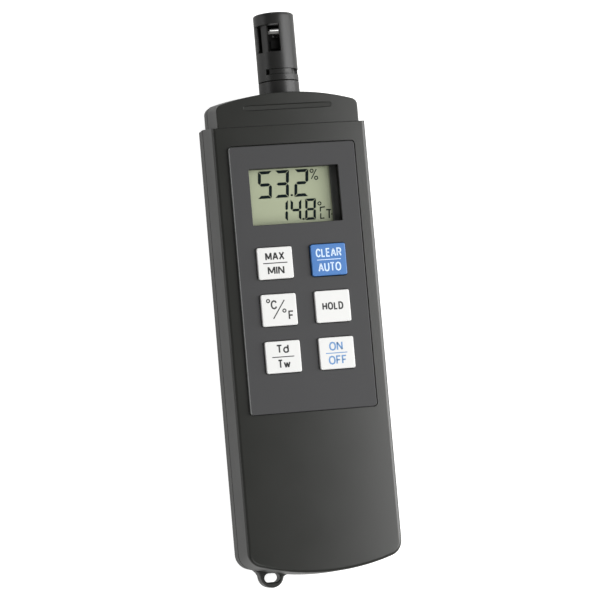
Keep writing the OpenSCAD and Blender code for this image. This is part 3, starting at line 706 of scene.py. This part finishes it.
# Face panel. A stiff polycarbonate plate, printed grey behind a satin film, glued in the front
# shell's recess. It stays flat, so its long edges stand a little above the crowned case.
panel_levels = [(0.0, PANEL_SEAT + 0.01), (0.0, PANEL_TOP - 0.2), (0.06, PANEL_TOP - 0.06), (0.2, PANEL_TOP)]
panel = slab("face_panel_plate", (0, PANEL_MIDDLE), PANEL_SIZE, 1.0, panel_levels)
# The openings have a fine bevel, which catches the light
carve(panel, *openings([(0, PANEL_SEAT - 1), (0, PANEL_TOP - 0.12), (-0.42, PANEL_TOP + 0.3)]))
# Polycarbonate film: a neutral grey, satin, with a finer grain than the case.
panel_film = moulded("polycarbonate_film", "#343435", 0.5, 0.16, grain_depth=0.004, cloud=0.03, sheen=0.4)
# A paler colour on the plate's cut left side only: a painted highlight for the light that this edge catches
left_edge_painted_highlight = moulded("polycarbonate_core", "#858786", 0.4, 0.3, grain_depth=0.003)
shade(panel)
give(panel, panel_film, left_edge_painted_highlight)
# Painted highlight: only the cut faces on the panel's left side take the paler second material
for side in panel.data.polygons:
    if side.normal.x < -0.3 and side.center.x < -19 * MM:
        side.material_index = 1
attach(panel, "case")
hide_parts("face_panel")


# Display. A reflective liquid-crystal glass in a black frame, under a clear window. The glass is
# set left of the middle, so the frame shows as a dark strip on the right. Its figures are plain.
LCD_FACE = 20.4
INK_FOOT = LCD_FACE + 0.005
INK_TOP = LCD_FACE + 0.03
# Bars of each figure. From a to g: top, upper and lower right, bottom, lower and upper left, middle
BARS = {"1": "bc", "2": "abged", "3": "abgcd", "4": "fgbc", "5": "afgcd", "8": "abcdefg"}
LEAN = 0.088


def bar_points(bar, w, h, t):
    """Corners of one bar of a seven-bar figure of width w, height h and bar thickness t."""
    gap = t * 0.12
    half = h / 2
    if bar in "agd":
        y = {"a": h, "g": half, "d": 0}[bar]
        low = y - t if bar == "a" else y - t / 2 if bar == "g" else y
        high = low + t
        lean_low = t if bar == "a" else t / 2 if bar == "g" else 0
        lean_high = t if bar == "d" else t / 2 if bar == "g" else 0
        if bar == "g":
            point = [(w - t - gap, low), (w - t / 2 - gap, y), (w - t - gap, high)]
            return [(gap + t / 2, y), (gap + t, low), *point, (gap + t, high)]
        upper = [(w - gap - lean_high, high), (gap + lean_high, high)]
        return [(gap + lean_low, low), (w - gap - lean_low, low), *upper]
    right = bar in "bc"
    upper = bar in "bf"
    y0, y1 = (half, h) if upper else (0, half)
    outer = w if right else 0
    inner = w - t if right else t
    middle = w - t / 2 if right else t / 2
    low = y0 + gap
    high = y1 - gap
    if upper:
        return [(middle, low), (inner, low + t / 2), (inner, high - t), (outer, high), (outer, low + t / 2)]
    return [(middle, high), (inner, high - t / 2), (inner, t + gap), (outer, gap), (outer, high - t / 2)]


def figures(text, lefts, base, w, h, t):
    """Flat outlines of leaning seven-bar figures, each from its own left."""
    shapes = []
    for sign, left in zip(text, lefts):
        for bar in BARS[sign]:
            shapes.append([(left + x + y * LEAN, base + y) for x, y in bar_points(bar, w, h, t)])
    return shapes


def flat_shapes(name, shapes, low, high):
    """Thin plates over a list of outlines, between two heights."""
    points = []
    faces = []
    for shape in shapes:
        first = len(points)
        points += [(x, y, z) for z in (low, high) for x, y in shape]
        faces += [[first + corner for corner in face] for face in closed_faces(len(shape), 2)]
    return clean(mesh_piece(name, points, faces))


def strokes(name, drawn, low, high):
    """Drawn lines, each with its thickness, as thin closed plates. A ring ends where it starts."""
    points = []
    faces = []
    for line, thick in drawn:
        line = [Vector(p) for p in line]
        ring = (line[0] - line[-1]).length < 1e-6
        if ring:
            line.pop()
        n = len(line)
        base = len(points)
        for i, here in enumerate(line):
            before = line[i - 1] if i or ring else 2 * here - line[1]
            after = line[(i + 1) % n] if i < n - 1 or ring else 2 * here - before
            into = (here - before).normalized()
            out = (after - here).normalized()
            across = Vector((-into.y - out.y, into.x + out.x)).normalized()
            reach = thick / 2 / max(across.dot(Vector((-into.y, into.x))), 0.75)
            a, b = here + across * reach, here - across * reach
            points += [(a.x, a.y, low), (b.x, b.y, low), (b.x, b.y, high), (a.x, a.y, high)]
        for i in range(n if ring else n - 1):
            k, m = base + 4 * i, base + 4 * ((i + 1) % n)
            faces += [(k + c, k + (c + 1) % 4, m + (c + 1) % 4, m + c) for c in range(4)]
        if not ring:
            last = base + 4 * (n - 1)
            faces += [(base + 3, base + 2, base + 1, base), (last, last + 1, last + 2, last + 3)]
    return clean(mesh_piece(name, points, faces))


def circle(x, y, radius, thick):
    """The small ring of a degree sign."""
    return (arc((x, y), radius, 0, 360, 16), thick)


def join(first, other):
    """Moves the other piece's mesh into the first."""
    work = bmesh.new()
    work.from_mesh(first.data)
    work.from_mesh(other.data)
    work.to_mesh(first.data)
    work.free()
    bpy.data.objects.remove(other)


big = figures("532", (-11.3, -5.84, 0.4), 30.3, 4.47, 8.6, 0.95)
small = figures("148", (-5.8, -1.49, 3.2), 22.8, 3.46, 6.7, 0.8)
dots = [[(x, y), (x + 0.7, y), (x + 0.7, y + 0.6), (x, y + 0.6)] for x, y in ((-0.75, 30.6), (2.35, 22.9))]
readout = flat_shapes("readout", big + small + dots, INK_FOOT, INK_TOP)
units = [
    circle(6.62, 38.17, 0.5, 0.32),
    circle(7.89, 35.88, 0.5, 0.32),
    ([(6.29, 35.6), (8.15, 38.6)], 0.3),
    circle(8.23, 27.76, 0.5, 0.32),
    ([(8.3, 25.2), (8.42, 26.5), (9.9, 26.6)], 0.4),
    ([(8.37, 24.65), (8.22, 23.05), (9.46, 23.1)], 0.4),
    ([(10.2, 25.65), (11.8, 25.6)], 0.42),
    ([(11.15, 25.4), (10.98, 23.0)], 0.42),
    ([(11.7, 24.2), (12.12, 24.2)], 0.3),
]
join(readout, strokes("units", units, INK_FOOT, INK_TOP))
# Liquid crystal: the bars are a bluish black that lets a little of the green through.
crystal = moulded("liquid_crystal_dark", "#161f20", 0.35, 0.3, grain_depth=0.0, sheen=0.0)
give(readout, crystal)
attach(readout, "case")


def dress(node, paint):
    """Gives a CAD node that is shown as it is this material."""
    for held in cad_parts[node].material_slots:
        held.material = paint


# Display glass: a silvery green-grey reflector behind polarising film, with a fine sparkle.
dress("lcd_glass", moulded("lcd_reflector", "#b1b89b", 0.4, 0.12, 0.003, cloud=0.04, sheen=0.3))


# Keys. Six hard satin ABS caps that press a rubber mat through the panel. Five are off-white and
# one is blue. Their legends are plain function words, pad-printed on the caps.
KEY_TOP = 25.085
KEY_FOOT = 20.1
KEY_FLANGE = 0.8
KEY_FLANGE_TOP = 21.0
KEY_SKIN = 1.2
KEY_ROOF = 1.4
POST_R = 2.2
# ABS, polished a little more than the case: off-white, satin.
key_white = moulded("abs_off_white", "#dddddb", 0.36, 0.2, grain_depth=0.003, cloud=0.015)
# The same ABS in mid blue.
key_blue = moulded("abs_blue", "#4676b4", 0.36, 0.2, grain_depth=0.003, cloud=0.03)
# Pad-printing ink: black, blue and white, with a dry surface.
ink_black = moulded("ink_black", "#262626", 0.5, 0.3, grain_depth=0.0)
ink_blue = moulded("ink_blue", "#6690bf", 0.5, 0.3, grain_depth=0.0)
ink_white = moulded("ink_white", "#d0e1f6", 0.5, 0.3, grain_depth=0.0)
OVAL = [(0.5, 1), (0.15, 0.9), (0, 0.65), (0, 0.35), (0.15, 0.1), (0.5, 0)]
OVAL += [(0.85, 0.1), (1, 0.35), (1, 0.65), (0.85, 0.9), (0.5, 1)]
LETTER_GAP = 0.18
BOWL = [(0.62, 1), (0.92, 0.9), (1, 0.74), (0.92, 0.57), (0.62, 0.48), (0, 0.48)]
HOOP = [(1, 0.5), (0.7, 0.68), (0.3, 0.66), (0, 0.45), (0, 0.2), (0.3, 0), (0.7, 0), (1, 0.16)]
# Each letter's share of width, and its lines in a box one wide and one high
LETTERS = {
    "A": (1.0, [[(0, 0), (0.47, 1)], [(0.53, 1), (1, 0)], [(0.2, 0.33), (0.8, 0.33)]]),
    "C": (0.9, [[(1, 0.75), (0.82, 0.93), (0.5, 1), (0.17, 0.88), *OVAL[2:6], (0.82, 0.07), (1, 0.25)]]),
    "D": (
        0.92,
        [[(0, 0), (0, 1), (0.5, 1), (0.87, 0.86), (1, 0.6), (1, 0.4), (0.87, 0.14), (0.5, 0), (0, 0)]],
    ),
    "E": (0.75, [[(1, 1), (0, 1), (0, 0), (1, 0)], [(0, 0.52), (0.85, 0.52)]]),
    "F": (0.72, [[(1, 1), (0, 1), (0, 0)], [(0, 0.5), (0.85, 0.5)]]),
    "H": (0.9, [[(0, 0), (0, 1)], [(1, 0), (1, 1)], [(0, 0.5), (1, 0.5)]]),
    "I": (0.0, [[(0, 0), (0, 1)]]),
    "L": (0.7, [[(0, 1), (0, 0), (1, 0)]]),
    "M": (
        1.15,
        [[(0, 0), (0, 1)], [(0.03, 0.98), (0.5, 0.15)], [(0.5, 0.15), (0.97, 0.98)], [(1, 1), (1, 0)]],
    ),
    "N": (0.92, [[(0, 0), (0, 1)], [(0.03, 0.97), (0.97, 0.03)], [(1, 0), (1, 1)]]),
    "O": (1.05, [OVAL]),
    "R": (0.9, [[(0, 0), (0, 1), *BOWL], [(0.55, 0.48), (1, 0)]]),
    "T": (0.85, [[(0, 1), (1, 1)], [(0.5, 1), (0.5, 0)]]),
    "U": (0.9, [[(0, 1), (0, 0.33), (0.15, 0.08), (0.5, 0), (0.85, 0.08), (1, 0.33), (1, 1)]]),
    "X": (0.95, [[(0, 0), (1, 1)], [(0, 1), (1, 0)]]),
    "d": (0.75, [[(1, 0), (1, 1)], HOOP]),
    "w": (
        1.2,
        [[(0, 0.7), (0.27, 0)], [(0.27, 0), (0.5, 0.64)], [(0.5, 0.64), (0.73, 0)], [(0.73, 0), (1, 0.7)]],
    ),
}


def printed(text, left, right, foot, top, thick):
    """Lines that draw a word in this box, with strokes of even thickness."""
    room = right - left - len(text) * thick - (len(text) - 1) * LETTER_GAP
    scale = room / max(sum(LETTERS[sign][0] for sign in text), 0.1)
    x = left + thick / 2
    drawn = []
    for sign in text:
        share, lines = LETTERS[sign]
        for line in lines:
            at = [(x + px * share * scale, foot + thick / 2 + py * (top - foot - thick)) for px, py in line]
            drawn.append((at, thick))
        x += share * scale + thick + LETTER_GAP
    return drawn


# Words of each key, with their left, right, foot and top from the key's middle
WORDS = {
    "max_min": [("MAX", -3.05, 3.05, 0.84, 3.47), ("MIN", -2.6, 2.7, -3.58, -0.93)],
    "clear_auto": [("CLEAR", -4.01, 4.2, 0.85, 3.58), ("AUTO", -3.61, 3.74, -3.7, -0.88)],
    "unit": [("C", -2.6, -0.59, 0.25, 3.13), ("F", 2.75, 4.5, -3.3, -0.4)],
    "hold": [("HOLD", -3.42, 3.33, -1.12, 1.35)],
    "dew_wet": [("Td", -2.07, 1.92, 1.15, 3.84), ("Tw", -1.96, 2.07, -3.53, -0.79)],
    "power": [("ON", -2.34, 1.99, 0.73, 3.55), ("OFF", -2.83, 2.98, -3.59, -0.77)],
}
# Left and right end of the rule between the two words of a key
RULES = {
    "max_min": (-3.88, 3.84),
    "clear_auto": (-3.75, 3.84),
    "dew_wet": (-3.52, 3.45),
    "power": (-3.55, 3.3),
}
INKS = {"clear_auto": ink_white, "power": ink_blue}
KEY_EDGE = 0.24
for name, words in WORDS.items():
    at = KEY_AT[name]
    bends = [(inset, KEY_TOP - drop) for inset, drop in rounded(KEY_EDGE, 18)]
    cap = slab("cap_" + name, at, KEY_SIZE, 0.6, [(0, KEY_FOOT), *bends], steps=8)
    flange = slab("flange", at, wider(KEY_SIZE, KEY_FLANGE), 0.8, [(0, KEY_FOOT), (0, KEY_FLANGE_TOP)])
    carve(cap, flange, how="UNION")
    room = [(0, KEY_FOOT - 1), (0, KEY_TOP - KEY_ROOF)]
    hollow = slab("hollow", at, wider(KEY_SIZE, -KEY_SKIN), 0.3, room)
    carve(hollow, peg("post", at, POST_R, KEY_FOOT - 2, KEY_TOP))
    carve(cap, hollow)
    shade(cap)
    plastic = key_blue if name == "clear_auto" else key_white
    give(cap, plastic)
    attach(cap, "key_" + name)
    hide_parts("key_" + name)
    word_stroke, rule_stroke = (0.42, 0.22) if plastic is key_blue else (0.48, 0.3)
    drawn = [stroke for word in words for stroke in printed(*word, word_stroke)]
    if name in RULES:
        drawn.append(([(x, 0.02) for x in RULES[name]], rule_stroke))
    if name == "unit":
        drawn += [circle(-3.35, 2.96, 0.48, 0.36), circle(1.57, -0.34, 0.48, 0.36)]
        drawn.append(([(-2.06, -2.67), (1.8, 3.0)], 0.35))
    placed = [([(at[0] + x, at[1] + y) for x, y in line], thick) for line, thick in drawn]
    legend = strokes("legend_" + name, placed, KEY_TOP - 0.01, KEY_TOP + 0.015)
    give(legend, INKS.get(name, ink_black))
    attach(legend, "key_" + name)


# Probe tube. A dark moulded tube clamped between the shells: a collar outside, four vents round
# the sensor, and a snap lug that keeps the guard on and limits its turn.
SEAM = 67.4
TIP = 89.1
VENT = (76.6, 85.4)
TUBE_R = 5.22
TUBE_BORE = 4.3
GUARD_BORE = 5.3


def between(turned_to, span):
    """Whether a direction lies between two others, in degrees."""
    return (turned_to - span[0]) % 360 < span[1] - span[0]


def round_cells(name, edges, rows, filled):
    """Closed solid round the probe's axis, made of cells between directions, places and radii.

    Directions turn from straight ahead towards +X. Each row lists its place along the probe and
    its radii, and filled says for a direction, a place and a layer whether there is material.
    """
    edges = sorted(a % 360 for a in edges)
    turns = []
    for a, b in zip(edges, edges[1:] + [edges[0] + 360]):
        steps = math.ceil((b - a) / 3)
        turns += [a + (b - a) * i / steps for i in range(steps)]
    n = len(turns)
    rings = len(rows[0][1])
    points = []
    for y, radii in rows:
        for r in radii:
            for a in turns:
                points.append((r * math.sin(math.radians(a)), y, PROBE_AXIS + r * math.cos(math.radians(a))))

    def solid(j, k, i):
        if j < 0 or k < 0 or j > len(rows) - 2 or k > rings - 2:
            return False
        after = turns[i + 1] if i + 1 < n else turns[0] + 360
        return filled((turns[i] + after) / 2, (rows[j][0] + rows[j + 1][0]) / 2, k)

    # Corners of a cell's six sides, as steps in place, radius and direction
    sides = {
        (-1, 0, 0): ((0, 0, 0), (0, 1, 0), (0, 1, 1), (0, 0, 1)),
        (1, 0, 0): ((1, 0, 0), (1, 1, 0), (1, 1, 1), (1, 0, 1)),
        (0, -1, 0): ((0, 0, 0), (0, 0, 1), (1, 0, 1), (1, 0, 0)),
        (0, 1, 0): ((0, 1, 0), (0, 1, 1), (1, 1, 1), (1, 1, 0)),
        (0, 0, -1): ((0, 0, 0), (1, 0, 0), (1, 1, 0), (0, 1, 0)),
        (0, 0, 1): ((0, 0, 1), (1, 0, 1), (1, 1, 1), (0, 1, 1)),
    }
    faces = []
    for j in range(len(rows) - 1):
        for k in range(rings - 1):
            for i in range(n):
                if not solid(j, k, i):
                    continue
                for step, corners in sides.items():
                    on_axis = step == (0, -1, 0) and rows[j][1][k] == 0
                    if not on_axis and not solid(j + step[0], k + step[1], (i + step[2]) % n):
                        faces.append([((j + b) * rings + k + c) * n + (i + d) % n for b, c, d in corners])
    return clean(mesh_piece(name, points, faces))


LUG = (-36.6, 30)
LUG_R = PROBE_R - 0.15
LUG_SPAN = (69.55, 71.05)
VENTS = [(a - 32, a + 32) for a in (-8, 82, 172, 262)]
ROOT_R = 5.8
FLANGE_R = 7.1
FLANGE = (59.2, COLLAR_END)
PLUG = TIP - 2.7
outside = [(57, ROOT_R), (FLANGE[0], ROOT_R), (FLANGE[0], FLANGE_R), (FLANGE[1], FLANGE_R)]
outside += [(FLANGE[1], PROBE_R), (SEAM - 0.2, PROBE_R), (SEAM, PROBE_R - 0.2)]
outside += [(y, TUBE_R) for y in (SEAM, *LUG_SPAN, *VENT, PLUG, TIP - 1.9)]
outside += [(TIP - 1.7, TUBE_R - 0.2)]
tube = round_cells(
    "probe_tube",
    [edge for vent in VENTS for edge in vent] + list(LUG),
    [(y, (0, TUBE_BORE, r, max(LUG_R, r + 0.1))) for y, r in outside],
    lambda a, y, k: (
        (k == 0 and y > PLUG)
        or (k == 1 and not (VENT[0] < y < VENT[1] and any(between(a, vent) for vent in VENTS)))
        or (k == 2 and LUG_SPAN[0] < y < LUG_SPAN[1] and between(a, LUG))
    ),
)
# ABS, black-grey and smoother than the case, so a band of light runs along it.
probe_abs = moulded("abs_probe", "#1f1f1e", 0.38, 0.2, grain_depth=0.004, sheen=0.38)
shade(tube)
give(tube, probe_abs)
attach(tube, "case")
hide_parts("sensor_tube")


# Probe guard. A moulded sleeve with a closed end that turns on the tube, over the vents. It has
# two windows and a slot for the lug, and is pushed on over the lug, where it snaps in.
WINDOWS = [(-81, 2), (99, 182)]
SLOT = (-48, 91.1)
SLOT_SPAN = (69.4, 71.2)
GUARD_END = TIP - 1.4
outside = [(SEAM + 0.1, PROBE_R - 0.1)]
outside += [(y, PROBE_R) for y in (SEAM + 0.2, *SLOT_SPAN, *VENT, GUARD_END)]
outside += [(y, r) for r, y in arc((PROBE_R - 0.7, TIP - 0.7), 0.7, 0, 90, 8)]
guard = round_cells(
    "probe_guard",
    [edge for window in WINDOWS for edge in window] + list(SLOT),
    [(y, (0, GUARD_BORE, r)) for y, r in outside],
    lambda a, y, k: (
        y > GUARD_END
        if k == 0
        else not (VENT[0] < y < VENT[1] and any(between(a, window) for window in WINDOWS))
        and not (SLOT_SPAN[0] < y < SLOT_SPAN[1] and between(a, SLOT))
    ),
)
shade(guard)
give(guard, probe_abs)
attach(guard, "sensor_guard")
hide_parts("sensor_guard")


# Window and display frame. A clear acrylic plate is glued behind the panel's window, and under it
# a moulded black frame holds the display glass, set to the left.
# Acrylic: clear, polished, with faint wiping marks in its shine.
acrylic, tree = blank("acrylic_clear")
marks = noise(tree, 3, 4.0)
clear = {"Base Color": linear("#1c1e1d"), "IOR": 1.49, "Alpha": 0.06}
surface(tree, {**clear, "Roughness": spread(tree, marks, 0.04, 0.12)})
dress("window_lens", acrylic)
# ABS of the display frame: black, half matt.
dress("lcd_frame", moulded("abs_black", "#3a3b38", 0.5, 0.2))


# Zebra strips and keypad. Layered contact strips press between glass and board. The silicone mat
# has a dome under each key, and each dome carries a carbon pill.
def banded(name, colours, axis, pitch_mm, start_mm, share, rough, metal=0.0):
    """Even bands of two colours along an axis over a fine grain. The second may be bare metal."""
    made, tree = blank(name)
    along = add(tree, "ShaderNodeSeparateXYZ", {"Vector": own_space(tree)}).outputs[axis]
    bands = maths(tree, "MULTIPLY", maths(tree, "SUBTRACT", along, start_mm * MM), 1 / (pitch_mm * MM))
    first = maths(tree, "LESS_THAN", maths(tree, "FRACT", bands), share)
    grain = noise(tree, 0.4, 3.0)
    surface(
        tree,
        {
            "Base Color": mixed(tree, first, linear(colours[1]), linear(colours[0])),
            "Metallic": spread(tree, first, metal, 0.0),
            "Roughness": spread(tree, grain, rough - 0.06, rough + 0.06),
            "Normal": bumpy(tree, grain, 0.4, 0.01),
        },
    )
    return made


# Layered silicone: carbon-filled and clear grey layers in turn. Real ones are 0.1 mm, drawn coarser.
dress("zebra_strips", banded("rubber_layered", ("#1c1c1c", "#8b8982"), "X", 0.6, 0.0, 0.5, 0.65))
# Silicone rubber: a dull, waxy mid grey
silicone = moulded("silicone_grey", "#8d8f8b", 0.6, 0.5, sheen=0.35)
dress("keypad_mat", silicone)
# Carbon-filled rubber: black and quite dull
carbon = moulded("rubber_carbon", "#1a1a1a", 0.8, 0.3)
for name in KEY_AT:
    dress("dome_" + name, silicone)
    dress("pill_" + name, carbon)


# Boards. Glass-epoxy boards with a green mask over copper tracks. Four small screws hold the main
# board under the keypad, and its chips, crystal, capacitors and resistors are soldered on.
# Masked laminate: a glossy deep green, with paler, slightly raised lines where the tracks run
board_green, tree = blank("laminate_masked")
tracks = add(
    tree,
    "ShaderNodeTexBrick",
    {
        "Vector": own_space(tree),
        "Color1": linear("#1f5230"),
        "Color2": linear("#1f5230"),
        "Mortar": linear("#3a7a48"),
        "Scale": 1 / MM,
        "Mortar Size": 0.11,
        "Mortar Smooth": 0.1,
        "Brick Width": 4.6,
        "Row Height": 1.3,
    },
)
surface(
    tree,
    {
        "Base Color": tracks.outputs["Color"],
        "Roughness": spread(tree, noise(tree, 0.7, 2.0), 0.26, 0.42),
        "Normal": bumpy(tree, tracks.outputs["Fac"], 0.5, 0.03),
    },
)
for node in ("main_board", "sensor_board"):
    dress(node, board_green)
# Cast epoxy: black, half matt
epoxy = moulded("epoxy_black", "#121212", 0.35, 0.5)
for node in ("chip_on_board", "sensor_amp_chip", "voltage_regulator"):
    dress(node, epoxy)
# Nickel-plated can: a warm bright grey with fine drawing lines
dress("quartz_crystal", plated("nickel_can", "#c2c2be", 0.3, 0.2))
# Shrunk vinyl sleeves, with the bare aluminium end showing at the bottom
dress("electrolytic_capacitors", banded("pvc_sleeve", ("#c3c4c4", "#1d2733"), "Z", 20, 8.5, 0.025, 0.32))
# Glazed black bodies between tinned ends
glazed = banded("resistor_glazed", ("#1b1b1c", "#c9cac8"), "X", 3, -13.65, 0.45, 0.32, metal=1.0)
dress("chip_resistors", glazed)
# Natural nylon: a milky cream
dress("sensor_socket", moulded("nylon_natural", "#ded9c8", 0.5, 0.3))
dress("board_screws", zinc)


# Battery and its leads. A 9 V block lies in the bay under a foam pad. A vinyl snap sits on its two
# nickel terminals, and two insulated wires run to the board.
# A printed steel can: dark jacket, with a plain steel rim at the terminal end
jacket = banded("steel_can_printed", ("#2c3036", "#b4b6b8"), "Y", 50, -83.2, 0.88, 0.34, metal=1.0)
dress("battery_9v", jacket)
# Nickel plate over brass: bright, with a yellowish tinge
dress("battery_terminals", plated("nickel_contact", "#bcbab2", 0.28, 0.2))
# Soft vinyl: black and red, with the dull shine of cable sleeves
vinyl_black = moulded("vinyl_black", "#161616", 0.5, 0.4)
dress("battery_snap", vinyl_black)
dress("battery_lead_black", vinyl_black)
dress("battery_lead_red", moulded("pvc_red", "#a4201d", 0.45, 0.4))
# Open-cell foam: dark, dull and deeply pitted
dress("battery_foam", moulded("foam_open", "#34353a", 0.92, 0.8, 0.5, cloud=0.2, sheen=0.1))


# Sensor. A carrier board reaches into the probe with the ceramic humidity plate, its black
# element and a thermistor bead, and a flat cable joins it to the main board.
# Fired ceramic: white, with a very fine grain
dress("humidity_plate", moulded("ceramic_white", "#f3f2ee", 0.45, 0.2))
# Dipped epoxy bead: black and glossy
dress("thermistor", moulded("thermistor_bead", "#17191c", 0.15, 0.3))
dress("sensor_chip", epoxy)
# Tin solder: the brightest metal on the board
dress("solder_dots", plated("solder_tin", "#d5d6d6", 0.25, 0.3))
# Flat cable: copper lines between amber polyimide films
dress("sensor_ribbon", banded("polyimide_film", ("#a9622a", "#7a4314"), "X", 0.9, 0.0, 0.5, 0.28))
